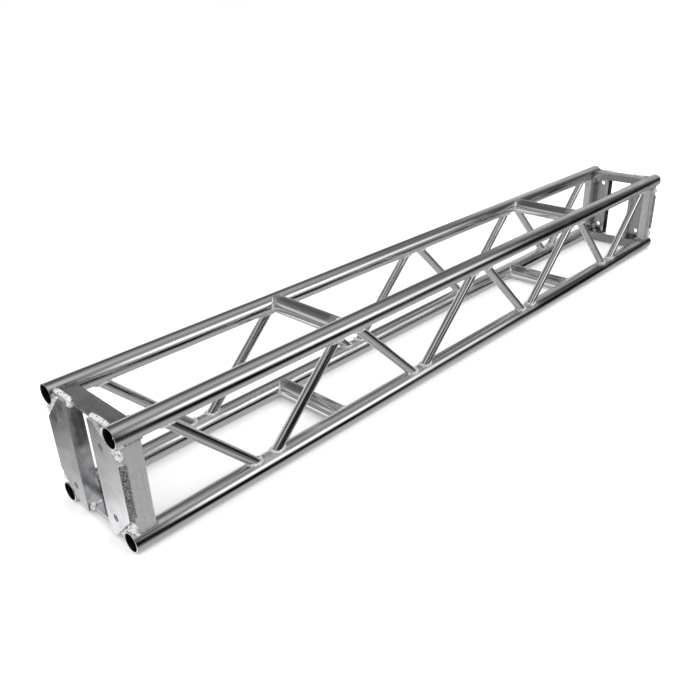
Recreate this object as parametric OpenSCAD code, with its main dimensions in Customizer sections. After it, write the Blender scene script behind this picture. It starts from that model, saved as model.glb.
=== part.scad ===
// Box truss section: four chord tubes, side lacing, cross tubes and a bolt-plate frame at each end.
// X runs along the section, Y across it, Z up. The origin is under the middle of the section,
// on the surface that the two bottom chords rest on. All lengths are in millimetres.

/* [Section] */
// Length over the two bolting faces
section_length = 2438.4; // [2000:0.1:3000]
// Distance between chord centres, both across and up
chord_spacing = 254; // [240:1:300]

/* [Tubes] */
// Outside diameter of the chords and cross tubes
chord_od = 48.3; // [42:0.1:50]
// Wall of the chords and cross tubes
chord_wall = 3.2; // [2:0.1:5]
// Outside diameter of the side braces
brace_od = 25.4; // [20:0.1:30]
// Wall of the side braces
brace_wall = 3.2; // [2:0.1:5]
// From the bolting face to the last lacing point
lacing_end_room = 81.2; // [78:0.1:100]
// How far the cross tubes stand outboard of the second lacing point
cross_tube_shift = 15; // [5:1:40]

/* [End frames] */
// Thickness of a bolt plate
plate_t = 12.7; // [10:0.1:14]
// Width of a bolt plate's face
plate_w = 95; // [92:1:98]
// Clear gap between the two bolt plates of one end
plate_gap = 93; // [88:1:94]
// Depth of a bolt plate's flange, measured from the bolting face
flange_depth = 35; // [28:1:42]
// Thickness of a bolt plate's flange
flange_t = 9.5; // [6:0.1:11]
// Length of a bolt plate's straight top edge
plate_top_edge = 23.5; // [20:0.5:26]
// Length of a bolt plate's straight outer edge
plate_outer_edge = 134; // [126:1:140]
// Wide leg of the frame angles
angle_w = 44.45; // [40:0.05:50]
// Short leg of the frame angles
angle_d = 25.4; // [22:0.1:30]
// Thickness of the frame angles
angle_t = 9.5; // [6:0.1:11]

/* [Bolting] */
// Bolt spacing across the section
bolt_spacing_y = 165; // [155:1:172]
// Bolt spacing up the section
bolt_spacing_z = 175; // [165:1:185]
// Bolt hole diameter
bolt_hole_d = 17.5; // [13:0.5:18]

/* [Welds] */
// How far a bead reaches out from the joint of two tubes
bead = 4.5; // [3:0.5:6]
// Thickness of the bead laid along a bolt plate's outer edge
edge_bead = 3.5; // [2:0.5:4]

/* [Hidden] */
$fn = 72;

half_length = section_length / 2;
half_spacing = chord_spacing / 2;
chord_r = chord_od / 2;
brace_r = brace_od / 2;
centre_z = half_spacing + chord_r;

// Lacing points stand one pitch apart, counted outwards from the middle of the section.
// Even points are on the top chords and odd points on the bottom chords.
lacing_pitch = (half_length - lacing_end_room) / 4;
// Half the gap left between two neighbouring braces at each lacing point
brace_half_gap = [12, 7, 17, 12, 21];
cross_tube_x = 2 * lacing_pitch + cross_tube_shift;
// A cross tube's pointed ears are trimmed where the braces pass
cross_tube_reach = half_spacing - brace_r - 0.1;

// Height of a bolt plate above the section's centre line, level with the frame angles' outer faces
plate_half_h = half_spacing + angle_d / 2;
plate_inner_y = plate_gap / 2;
plate_outer_y = plate_inner_y + plate_w;
flange_half_h = plate_half_h - angle_t;

cut = 1;
front = -1;
rear = 1;
left = -1;
right = 1;
top = 1;
bottom = -1;

// ---- Placing ----

// Moves children to a chord's axis; side is front or rear, level is top or bottom.
module at_chord(side, level) {
    translate([0, side * half_spacing, centre_z + level * half_spacing]) children();
}

// Places children drawn inboard (towards -X) of an end plane, with +Y outwards.
module at_end(end, side = rear) {
    mirror([end < 0 ? 1 : 0, 0, 0])
        mirror([0, side < 0 ? 1 : 0, 0])
            translate([half_length, 0, centre_z]) children();
}

// ---- Tube shapes ----

// A solid bar along X, centred on the origin
module bar_x(r, length) {
    rotate([0, 90, 0]) cylinder(r = r, h = length, center = true);
}

// A solid bar along Y, centred on the origin
module bar_y(r, length) {
    rotate([90, 0, 0]) cylinder(r = r, h = length, center = true);
}

// The space that all four chords fill
module chord_space(grow = 0) {
    for (side = [front, rear], level = [top, bottom])
        at_chord(side, level) bar_x(chord_r + grow, section_length + 2 * cut);
}

module chord(side, level) {
    color("silver") at_chord(side, level) difference() {
        bar_x(chord_r, section_length);
        bar_x(chord_r - chord_wall, section_length + 2 * cut);
    }
}

// ---- Side braces ----

// Distance from the middle of the section to a brace's end; step is -1 on the inner side
// of a lacing point and +1 on its outer side.
function brace_end_x(point, step) = point * lacing_pitch + step * brace_half_gap[point];

// A solid bar of radius r along brace k, from chord axis to chord axis; k counts 1 to 4
// outwards from the middle of the section.
module brace_bar(end, side, k, r) {
    inner_x = end * brace_end_x(k - 1, 1);
    outer_x = end * brace_end_x(k, -1);
    inner_level = (k - 1) % 2 == 0 ? top : bottom;
    bottom_x = inner_level == bottom ? inner_x : outer_x;
    top_x = inner_level == top ? inner_x : outer_x;
    run = top_x - bottom_x;
    translate([bottom_x, side * half_spacing, centre_z - half_spacing])
        rotate([0, atan2(run, chord_spacing), 0])
            cylinder(r = r, h = norm([run, chord_spacing]));
}

module brace(end, side, k) {
    color("silver") difference() {
        brace_bar(end, side, k, brace_r);
        brace_bar(end, side, k, brace_r - brace_wall);
        at_chord(side, top) bar_x(chord_r, section_length);
        at_chord(side, bottom) bar_x(chord_r, section_length);
    }
}

// ---- Cross tubes ----

module at_cross_tube(end, level) {
    translate([end * cross_tube_x, 0, centre_z + level * half_spacing]) children();
}

module cross_tube(end, level) {
    color("silver") difference() {
        at_cross_tube(end, level) bar_y(chord_r, 2 * cross_tube_reach);
        at_cross_tube(end, level) bar_y(chord_r - chord_wall, chord_spacing);
        for (side = [front, rear])
            at_chord(side, level) bar_x(chord_r, section_length);
    }
}

// ---- End frames, drawn inboard of the end plane ----

// A bolt plate's face outline, lying in Y and Z
module plate_outline() {
    top_y = plate_inner_y + plate_top_edge;
    outer_z = plate_outer_edge / 2;
    polygon([
        [plate_inner_y, -plate_half_h], [top_y, -plate_half_h],
        [plate_outer_y, -outer_z], [plate_outer_y, outer_z],
        [top_y, plate_half_h], [plate_inner_y, plate_half_h]
    ]);
}

// Stands an outline drawn in X and Y up in Y and Z, and gives it a thickness inboard
module stand_inboard(thickness) {
    translate([-thickness, 0, 0]) rotate([90, 0, 90]) linear_extrude(thickness) children();
}

module bolt_plate(end, side) {
    color("gainsboro") at_end(end, side) difference() {
        union() {
            stand_inboard(plate_t) plate_outline();
            translate([-flange_depth, plate_inner_y, -flange_half_h])
                cube([flange_depth, flange_t, 2 * flange_half_h]);
        }
        for (level = [top, bottom])
            translate([-plate_t / 2, bolt_spacing_y / 2, level * bolt_spacing_z / 2])
                bar_x(bolt_hole_d / 2, plate_t + 2 * cut);
    }
}

// The angle's section: wide leg along X behind the plates, short leg turned towards the chord axis
module angle_section() {
    far_x = -plate_t - angle_w;
    translate([far_x, angle_d / 2 - angle_t]) square([angle_w, angle_t]);
    translate([far_x, -angle_d / 2]) square([angle_t, angle_d]);
}

module side_angle(end, side) {
    color("lightgray") difference() {
        at_end(end, side) translate([0, half_spacing, -half_spacing])
            linear_extrude(chord_spacing) angle_section();
        chord_space();
    }
}

module level_angle(end, level) {
    color("lightgray") difference() {
        at_end(end) mirror([0, 0, level < 0 ? 1 : 0])
            translate([0, half_spacing, half_spacing]) rotate([90, 0, 0])
                linear_extrude(chord_spacing) angle_section();
        chord_space();
    }
}

// ---- Weld beads ----

// Beads around the brace ends on one chord
module brace_welds(side, level) {
    color("whitesmoke") difference() {
        for (end = [left, right], k = [1:4])
            intersection() {
                brace_bar(end, side, k, brace_r + bead);
                at_chord(side, level) bar_x(chord_r + bead, section_length);
            }
        for (end = [left, right], k = [1:4]) brace_bar(end, side, k, brace_r);
        at_chord(side, level) bar_x(chord_r, section_length);
        for (end = [left, right]) at_cross_tube(end, level) bar_y(chord_r, 2 * cross_tube_reach);
    }
}

// Beads around the ends of all cross tubes
module cross_tube_welds() {
    color("whitesmoke") difference() {
        for (end = [left, right], level = [top, bottom], side = [front, rear])
            intersection() {
                at_cross_tube(end, level) bar_y(chord_r + bead, 2 * cross_tube_reach);
                at_chord(side, level) bar_x(chord_r + bead, section_length);
                at_cross_tube(end, level) cube([chord_spacing, chord_spacing, chord_od], center = true);
            }
        for (end = [left, right], level = [top, bottom])
            at_cross_tube(end, level) bar_y(chord_r, chord_spacing);
        chord_space();
        for (end = [left, right], side = [front, rear], k = [1:4])
            brace_bar(end, side, k, brace_r + bead);
    }
}

// The fill between a chord's end and the bolt plate's chamfer beside it
module corner_bead(level) {
    spread = chord_r + 8;
    difference() {
        intersection() {
            translate([-plate_t / 2, half_spacing, level * half_spacing]) bar_x(spread, plate_t);
            translate([-plate_t, half_spacing - spread, level > 0 ? half_spacing - spread : -half_spacing])
                cube([plate_t, spread, spread]);
        }
        translate([-plate_t / 2, half_spacing, level * half_spacing])
            bar_x(chord_r, plate_t + 2 * cut);
        translate([cut, 0, 0]) stand_inboard(plate_t + 2 * cut) plate_outline();
    }
}

module end_welds(end) {
    foot = 3;
    color("whitesmoke")
        for (side = [front, rear]) at_end(end, side) {
            for (level = [top, bottom]) corner_bead(level);
            translate([-plate_t, plate_outer_y, -plate_outer_edge / 2])
                cube([plate_t, edge_bead, plate_outer_edge]);
            translate([-plate_t - foot, plate_half_h, -plate_outer_edge / 2])
                cube([foot, plate_outer_y + edge_bead - plate_half_h, plate_outer_edge]);
        }
}

// ---- Nodes ----

chord(front, top);  // chord_top_front
chord(rear, top);  // chord_top_rear
chord(front, bottom);  // chord_bottom_front
chord(rear, bottom);  // chord_bottom_rear

// Braces count 1 to 8 from the left end to the right end
brace(left, front, 4);  // brace_front_1
brace(left, front, 3);  // brace_front_2
brace(left, front, 2);  // brace_front_3
brace(left, front, 1);  // brace_front_4
brace(right, front, 1);  // brace_front_5
brace(right, front, 2);  // brace_front_6
brace(right, front, 3);  // brace_front_7
brace(right, front, 4);  // brace_front_8
brace(left, rear, 4);  // brace_rear_1
brace(left, rear, 3);  // brace_rear_2
brace(left, rear, 2);  // brace_rear_3
brace(left, rear, 1);  // brace_rear_4
brace(right, rear, 1);  // brace_rear_5
brace(right, rear, 2);  // brace_rear_6
brace(right, rear, 3);  // brace_rear_7
brace(right, rear, 4);  // brace_rear_8

cross_tube(left, top);  // cross_tube_top_left
cross_tube(right, top);  // cross_tube_top_right
cross_tube(left, bottom);  // cross_tube_bottom_left
cross_tube(right, bottom);  // cross_tube_bottom_right

bolt_plate(left, front);  // bolt_plate_left_front
bolt_plate(left, rear);  // bolt_plate_left_rear
bolt_plate(right, front);  // bolt_plate_right_front
bolt_plate(right, rear);  // bolt_plate_right_rear

side_angle(left, front);  // side_angle_left_front
side_angle(left, rear);  // side_angle_left_rear
side_angle(right, front);  // side_angle_right_front
side_angle(right, rear);  // side_angle_right_rear
level_angle(left, top);  // top_angle_left
level_angle(right, top);  // top_angle_right
level_angle(left, bottom);  // bottom_angle_left
level_angle(right, bottom);  // bottom_angle_right

brace_welds(front, top);  // brace_welds_top_front
brace_welds(rear, top);  // brace_welds_top_rear
brace_welds(front, bottom);  // brace_welds_bottom_front
brace_welds(rear, bottom);  // brace_welds_bottom_rear
cross_tube_welds();
end_welds(left);  // end_welds_left
end_welds(right);  // end_welds_right
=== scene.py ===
"""Looks of a straight box truss section: smooth tubes, bevelled end frames, rippled weld beads and finishes.

Everything is in metres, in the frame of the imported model: X along the section, Y across it from front to
rear, Z up, with the origin under the middle of the section.
"""

from __future__ import annotations

import logging
import math
import random
from dataclasses import dataclass
from enum import Enum
from typing import Callable, Sequence, Union

import bmesh
import bpy
from mathutils import Matrix, Vector


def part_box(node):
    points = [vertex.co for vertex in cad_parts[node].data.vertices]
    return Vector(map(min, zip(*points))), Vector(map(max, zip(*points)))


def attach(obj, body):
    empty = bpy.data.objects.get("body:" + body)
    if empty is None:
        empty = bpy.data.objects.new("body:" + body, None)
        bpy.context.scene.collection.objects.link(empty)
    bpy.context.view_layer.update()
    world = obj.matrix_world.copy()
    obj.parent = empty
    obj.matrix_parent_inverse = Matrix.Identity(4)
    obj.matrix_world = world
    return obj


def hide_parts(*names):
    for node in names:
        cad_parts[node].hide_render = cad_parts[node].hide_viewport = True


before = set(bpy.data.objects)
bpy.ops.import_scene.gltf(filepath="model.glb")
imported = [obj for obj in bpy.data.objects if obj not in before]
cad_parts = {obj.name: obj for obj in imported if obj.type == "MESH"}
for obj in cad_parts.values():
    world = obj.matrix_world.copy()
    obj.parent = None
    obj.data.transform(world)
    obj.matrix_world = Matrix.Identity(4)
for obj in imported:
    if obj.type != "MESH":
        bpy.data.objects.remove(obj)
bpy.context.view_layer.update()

LOG = logging.getLogger("truss")
BODY = "root"
BAYS = 4  # lacing bays from the middle of the section to its last lacing point
TINY = 1e-5  # a distance that counts as none
FACING = 0.9  # a normal with more than this share along a direction points that way
ASIDE = 0.2  # a direction with less than this share along another runs across it
EDGE_ANGLE = 32.0  # on tubes and bars, shading breaks at edges sharper than this, in degrees
BEAD_ANGLE = 60.0  # the same on weld beads
ROUNDED_ANGLE = 35.0  # edges sharper than this are rounded, in degrees
COPE_SIDES = 96  # faces round a coping cut
DRILL_SIDES = 48  # faces round a bolt hole

Socket = bpy.types.NodeSocket
Feed = Union[Socket, float, Sequence[float]]


class End(Enum):
    """The two ends of the section."""

    LEFT = -1
    RIGHT = 1


class Side(Enum):
    """The two long sides of the section."""

    FRONT = -1
    REAR = 1


class Level(Enum):
    """The upper and the lower chords."""

    BOTTOM = -1
    TOP = 1


class HeatPlace(Enum):
    """Where the heat of welding has dulled a tube."""

    TUBE_ENDS = "tube ends"
    EVEN_LACING_POINTS = "even lacing points"
    ODD_LACING_POINTS = "odd lacing points"


def word(choice: Enum) -> str:
    """Name of a choice as node names spell it."""
    return choice.name.lower()


# ---------------------------------------------------------------------------------------------------------
# Work on meshes
# ---------------------------------------------------------------------------------------------------------


def take(piece: bpy.types.Object) -> None:
    """Make a piece the only selected object and the active one.

    Args:
        piece: The object to work on.
    """
    bpy.ops.object.select_all(action="DESELECT")
    piece.select_set(True)
    bpy.context.view_layer.objects.active = piece


def settle(piece: bpy.types.Object) -> None:
    """Apply a piece's place, turn and size to its mesh, so that its object sits at the origin."""
    take(piece)
    bpy.ops.object.transform_apply(location=True, rotation=True, scale=True)


@dataclass
class EditTable:
    """One piece held open in edit mode, with its parts picked by a test.

    Attributes:
        piece: The object being edited.
    """

    piece: bpy.types.Object

    def __enter__(self) -> "EditTable":
        """Open edit mode with nothing picked.

        Returns:
            This table.
        """
        take(self.piece)
        bpy.ops.object.mode_set(mode="EDIT")
        bpy.ops.mesh.select_all(action="DESELECT")
        return self

    def __exit__(self, *_: object) -> None:
        """Close edit mode."""
        bpy.ops.object.mode_set(mode="OBJECT")

    def pick_all(self) -> None:
        """Pick the whole mesh."""
        bpy.ops.mesh.select_all(action="SELECT")

    def pick_faces(self, wanted: Callable[[bmesh.types.BMFace], bool]) -> None:
        """Pick only the faces that pass a test.

        Args:
            wanted: The test.
        """
        bpy.ops.mesh.select_mode(type="FACE")
        mesh = bmesh.from_edit_mesh(self.piece.data)
        for face in mesh.faces:
            face.select_set(wanted(face))
        bmesh.update_edit_mesh(self.piece.data)

    def pick_edges(self, wanted: Callable[[bmesh.types.BMEdge], bool]) -> None:
        """Pick only the edges that pass a test.

        Args:
            wanted: The test.
        """
        bpy.ops.mesh.select_mode(type="EDGE")
        bpy.ops.mesh.select_all(action="DESELECT")
        mesh = bmesh.from_edit_mesh(self.piece.data)
        for edge in mesh.edges:
            if wanted(edge):
                edge.select_set(True)
        bmesh.update_edit_mesh(self.piece.data)

    def slice(self, point: Vector, normal: Vector, drop_outside: bool = False) -> None:
        """Cut the whole mesh with a plane.

        Args:
            point: A point on the plane.
            normal: The plane's outward direction.
            drop_outside: Whether the part beyond the plane is thrown away and the cut is closed.
        """
        self.pick_all()
        bpy.ops.mesh.bisect(
            plane_co=point, plane_no=normal, use_fill=drop_outside, clear_outer=drop_outside
        )

    def pull(self, move: Vector) -> None:
        """Extrude what is picked by a straight move."""
        bpy.ops.mesh.extrude_region_move(TRANSFORM_OT_translate={"value": move})


def cut_away(piece: bpy.types.Object, cutters: Sequence[bpy.types.Object]) -> None:
    """Remove the cutters' solids from a piece and throw the cutters away.

    Args:
        piece: The object that is cut.
        cutters: Closed solids.
    """
    for cutter in cutters:
        take(piece)
        cut = piece.modifiers.new("cut", "BOOLEAN")
        cut.operation = "DIFFERENCE"
        cut.solver = "EXACT"
        cut.object = cutter
        bpy.ops.object.modifier_apply(modifier=cut.name)
        bpy.data.objects.remove(cutter)


def drill(
    piece: bpy.types.Object, middles: Sequence[Vector], reach: Vector, radius: float, sides: int = COPE_SIDES
) -> None:
    """Cut straight round holes or copes through a piece.

    Args:
        piece: The object that is cut.
        middles: A point on each hole's axis.
        reach: How far each cut goes to both sides of that point.
        radius: Radius of the cuts.
        sides: Number of faces round each cut.
    """
    cut_away(piece, [solid_rod(middle - reach, middle + reach, radius, sides) for middle in middles])


def soften_edges(piece: bpy.types.Object, width: float, segments: int = 2) -> None:
    """Round a piece's sharp edges and shade it smoothly between them.

    Args:
        piece: The object.
        width: How far the rounding reaches from an edge.
        segments: Steps across the rounding.
    """
    take(piece)
    rounding = piece.modifiers.new("rounding", "BEVEL")
    rounding.width = width
    rounding.segments = segments
    rounding.limit_method = "ANGLE"
    rounding.angle_limit = math.radians(ROUNDED_ANGLE)
    rounding.use_clamp_overlap = True
    bpy.ops.object.modifier_apply(modifier=rounding.name)
    shade(piece)


def keep_flat(piece: bpy.types.Object) -> None:
    """Make a piece's big faces look flat beside its rounded edges.

    Args:
        piece: The object.
    """
    take(piece)
    flat = piece.modifiers.new("flat_faces", "WEIGHTED_NORMAL")
    flat.mode = "FACE_AREA"
    flat.weight = 100
    flat.keep_sharp = True
    bpy.ops.object.modifier_apply(modifier=flat.name)


def shade(piece: bpy.types.Object, angle: float = EDGE_ANGLE) -> None:
    """Shade a piece smoothly, except over edges sharper than an angle in degrees."""
    take(piece)
    bpy.ops.object.shade_smooth_by_angle(angle=math.radians(angle))


def joined(pieces: Sequence[bpy.types.Object], name: str) -> bpy.types.Object:
    """Join several objects into one mesh.

    Args:
        pieces: The objects.
        name: Name of the joined object.

    Returns:
        The joined object.
    """
    take(pieces[0])
    for piece in pieces[1:]:
        piece.select_set(True)
    bpy.ops.object.join()
    pieces[0].name = name
    pieces[0].data.name = name
    return pieces[0]


def moved_copy(pattern: bpy.types.Object, name: str, move: Matrix) -> bpy.types.Object:
    """Copy a piece with its own mesh and move the copy.

    Args:
        pattern: The piece to copy.
        name: Name of the copy.
        move: Turn, mirror or shift, applied to the copy's mesh.

    Returns:
        The copy.
    """
    copy = pattern.copy()
    copy.data = pattern.data.copy()
    copy.name = name
    copy.data.name = name
    bpy.context.scene.collection.objects.link(copy)
    copy.data.transform(move)
    if move.determinant() < 0:
        copy.data.flip_normals()
    return copy


def mirror(end: End = End.RIGHT, side: Side = Side.REAR, level_flip: float = 0.0) -> Matrix:
    """Mirror that carries the right rear quarter of the section to another quarter.

    Args:
        end: The end that the copy belongs to.
        side: The side that the copy belongs to.
        level_flip: Height of the level mirror plane, or 0 for none.

    Returns:
        The mirror as a matrix.
    """
    turn = Matrix.Diagonal((end.value, side.value, -1.0 if level_flip else 1.0, 1.0))
    return Matrix.Translation((0, 0, 2 * level_flip)) @ turn


def hand_in(piece: bpy.types.Object, finishes: Sequence[bpy.types.Material], node: str) -> None:
    """Dress a finished piece and say which node it stands for.

    Args:
        piece: The finished object.
        finishes: Its materials, in the order of its faces' material numbers.
        node: The node that it replaces.
    """
    for finish in finishes:
        piece.data.materials.append(finish)
    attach(piece, BODY)
    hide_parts(node)
    LOG.info("%s: %d faces, for %s", piece.name, len(piece.data.polygons), node)


# ---------------------------------------------------------------------------------------------------------
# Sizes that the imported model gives
# ---------------------------------------------------------------------------------------------------------


@dataclass(frozen=True)
class Layout:
    """Main sizes of the section.

    Attributes:
        half_length: From the middle of the section to a bolting face.
        half_spacing: From the section's centre line to a chord's axis, both across and up.
        chord_r: Outside radius of the chords.
        brace_r: Outside radius of the braces.
        wall: Wall of all tubes.
        lacing_end_room: From the bolting face to the last lacing point.
        brace_half_gaps: Half the gap between neighbouring braces' axes at each lacing point.
        cross_tube_shift: How far the cross tubes stand outboard of the second lacing point.
    """

    half_length: float
    half_spacing: float
    chord_r: float
    brace_r: float = 0.0127
    wall: float = 0.0032
    lacing_end_room: float = 0.0812
    brace_half_gaps: tuple[float, ...] = (0.012, 0.007, 0.017, 0.012, 0.021)
    cross_tube_shift: float = 0.015

    @staticmethod
    def from_frame() -> "Layout":
        """Read the layout from the boxes of the chords.

        Returns:
            The layout.
        """
        low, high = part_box("chord_top_rear")
        under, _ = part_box("chord_bottom_rear")
        chord_r = (high.z - low.z) / 2
        return Layout(high.x, (high.z - under.z) / 2 - chord_r, chord_r)

    @property
    def centre_z(self) -> float:
        """Height of the section's centre line."""
        return self.half_spacing + self.chord_r

    @property
    def pitch(self) -> float:
        """Distance from one lacing point to the next."""
        return (self.half_length - self.lacing_end_room) / BAYS

    @property
    def cross_tube_x(self) -> float:
        """Distance of the cross tubes from the middle of the section."""
        return 2 * self.pitch + self.cross_tube_shift

    @property
    def centre(self) -> Vector:
        """Middle of the section's centre line."""
        return Vector((0, 0, self.centre_z))

    def chord_axis(self, side: Side, level: Level) -> Vector:
        """Middle point of a chord's axis."""
        return Vector((0, side.value * self.half_spacing, self.centre_z + level.value * self.half_spacing))

    def brace_ends(self, k: int) -> tuple[Vector, Vector]:
        """Ends of brace k's axis on the right rear quarter, the upper one first.

        Args:
            k: Place of the brace, from 1 at the middle of the section to BAYS at its end.

        Returns:
            The point on the top chord's axis and the point on the bottom chord's axis.
        """
        inner_x = (k - 1) * self.pitch + self.brace_half_gaps[k - 1]
        outer_x = k * self.pitch - self.brace_half_gaps[k]
        inner_is_up = (k - 1) % 2 == 0
        top = self.chord_axis(Side.REAR, Level.TOP)
        bottom = self.chord_axis(Side.REAR, Level.BOTTOM)
        top.x = inner_x if inner_is_up else outer_x
        bottom.x = outer_x if inner_is_up else inner_x
        return top, bottom


# ---------------------------------------------------------------------------------------------------------
# Finishes
# ---------------------------------------------------------------------------------------------------------

GRAIN = "grain"
REACH = "reach"


@dataclass
class NodeBench:
    """Adds and joins the nodes of one tree.

    Attributes:
        tree: The tree.
    """

    tree: bpy.types.NodeTree

    def add(self, kind: str, **settings: object) -> bpy.types.Node:
        """Add a node and set its properties.

        Args:
            kind: The node's type.
            settings: Property names and values.

        Returns:
            The node.
        """
        node = self.tree.nodes.new(kind)
        for name, value in settings.items():
            setattr(node, name, value)
        return node

    def feed(self, socket: Socket, value: Feed) -> None:
        """Join a socket to another one, or set its value.

        Args:
            socket: The socket that takes it in.
            value: The other socket, or a plain value.
        """
        if isinstance(value, bpy.types.NodeSocket):
            self.tree.links.new(value, socket)
        else:
            socket.default_value = value

    def math(self, operation: str, *values: Feed, clamp: bool = False) -> Socket:
        """Work out one number.

        Args:
            operation: The node's operation.
            values: Its inputs.
            clamp: Whether the result is kept from 0 to 1.

        Returns:
            The result's socket.
        """
        node = self.add("ShaderNodeMath", operation=operation, use_clamp=clamp)
        for socket, value in zip(node.inputs, values):
            self.feed(socket, value)
        return node.outputs[0]

    def place(self) -> Socket:
        """Coordinates of the piece, in metres."""
        return self.add("ShaderNodeTexCoord").outputs["Object"]

    def grain(self) -> Socket:
        """A tube's own coordinates: along it, across it, and towards the braces."""
        return self.add("ShaderNodeAttribute", attribute_name=GRAIN).outputs["Vector"]

    def axes(self, vector: Socket) -> bpy.types.NodeOutputs:
        """Take a vector apart.

        Args:
            vector: The vector's socket.

        Returns:
            Sockets of its parts, by the names X, Y and Z.
        """
        node = self.add("ShaderNodeSeparateXYZ")
        self.feed(node.inputs[0], vector)
        return node.outputs

    def noise(self, vector: Socket, scale: Sequence[float], detail: float = 3.0) -> Socket:
        """Cloudy noise, from about 0.3 to 0.7.

        Args:
            vector: Coordinates in metres.
            scale: Waves per metre along each axis.
            detail: Number of finer layers.

        Returns:
            The noise's socket.
        """
        stretched = self.add("ShaderNodeMapping")
        self.feed(stretched.inputs["Vector"], vector)
        stretched.inputs["Scale"].default_value = scale
        node = self.add("ShaderNodeTexNoise")
        self.feed(node.inputs["Vector"], stretched.outputs[0])
        node.inputs["Scale"].default_value = 1.0
        node.inputs["Detail"].default_value = detail
        return node.outputs["Fac"]

    def ramp(self, value: Feed, start: float, stop: float, low: Feed = 0.0, high: Feed = 1.0) -> Socket:
        """Smooth step from low at start to high at stop.

        Args:
            value: The number that is looked up.
            start: Where the step starts.
            stop: Where it stops.
            low: Result at the start.
            high: Result at the stop.

        Returns:
            The result's socket.
        """
        node = self.add("ShaderNodeMapRange", interpolation_type="SMOOTHSTEP")
        names = ("Value", "From Min", "From Max", "To Min", "To Max")
        for name, given in zip(names, (value, start, stop, low, high)):
            self.feed(node.inputs[name], given)
        return node.outputs["Result"]

    def blend(self, factor: Feed, first: Feed, second: Feed) -> Socket:
        """Mix two colours.

        Args:
            factor: 0 for the first colour, 1 for the second.
            first: The first colour.
            second: The second colour.

        Returns:
            The mixed colour's socket.
        """
        node = self.add("ShaderNodeMix", data_type="RGBA")
        for socket, value in ((node.inputs[0], factor), (node.inputs[6], first), (node.inputs[7], second)):
            self.feed(socket, value)
        return node.outputs[2]

    def relief(
        self, height: Socket, depth: float, strength: float = 1.0, under: Socket | None = None
    ) -> Socket:
        """Raise the surface by a pattern.

        Args:
            height: The pattern, from 0 to 1.
            depth: Height of the pattern at 1, in metres.
            strength: How much of it shows.
            under: A relief that this one lies on.

        Returns:
            The normal's socket.
        """
        node = self.add("ShaderNodeBump")
        node.inputs["Strength"].default_value = strength
        node.inputs["Distance"].default_value = depth
        self.feed(node.inputs["Height"], height)
        if under is not None:
            self.feed(node.inputs["Normal"], under)
        return node.outputs["Normal"]


def grey(tone: float, warmth: float = 0.0) -> tuple[float, float, float, float]:
    """Colour of bare aluminium at a tone, a little blue, or warmer where warmth is above 0."""
    return (tone * (0.985 + warmth), tone * 0.995, tone * (1.01 - warmth), 1.0)


def new_metal(name: str) -> tuple[bpy.types.Material, NodeBench, bpy.types.Node]:
    """Start a metal.

    Args:
        name: The material's name.

    Returns:
        The material, its bench and its shader node.
    """
    material = bpy.data.materials.new(name)
    material.use_nodes = True
    bench = NodeBench(material.node_tree)
    shader = material.node_tree.nodes["Principled BSDF"]
    shader.inputs["Metallic"].default_value = 1.0
    return material, bench, shader


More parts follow.
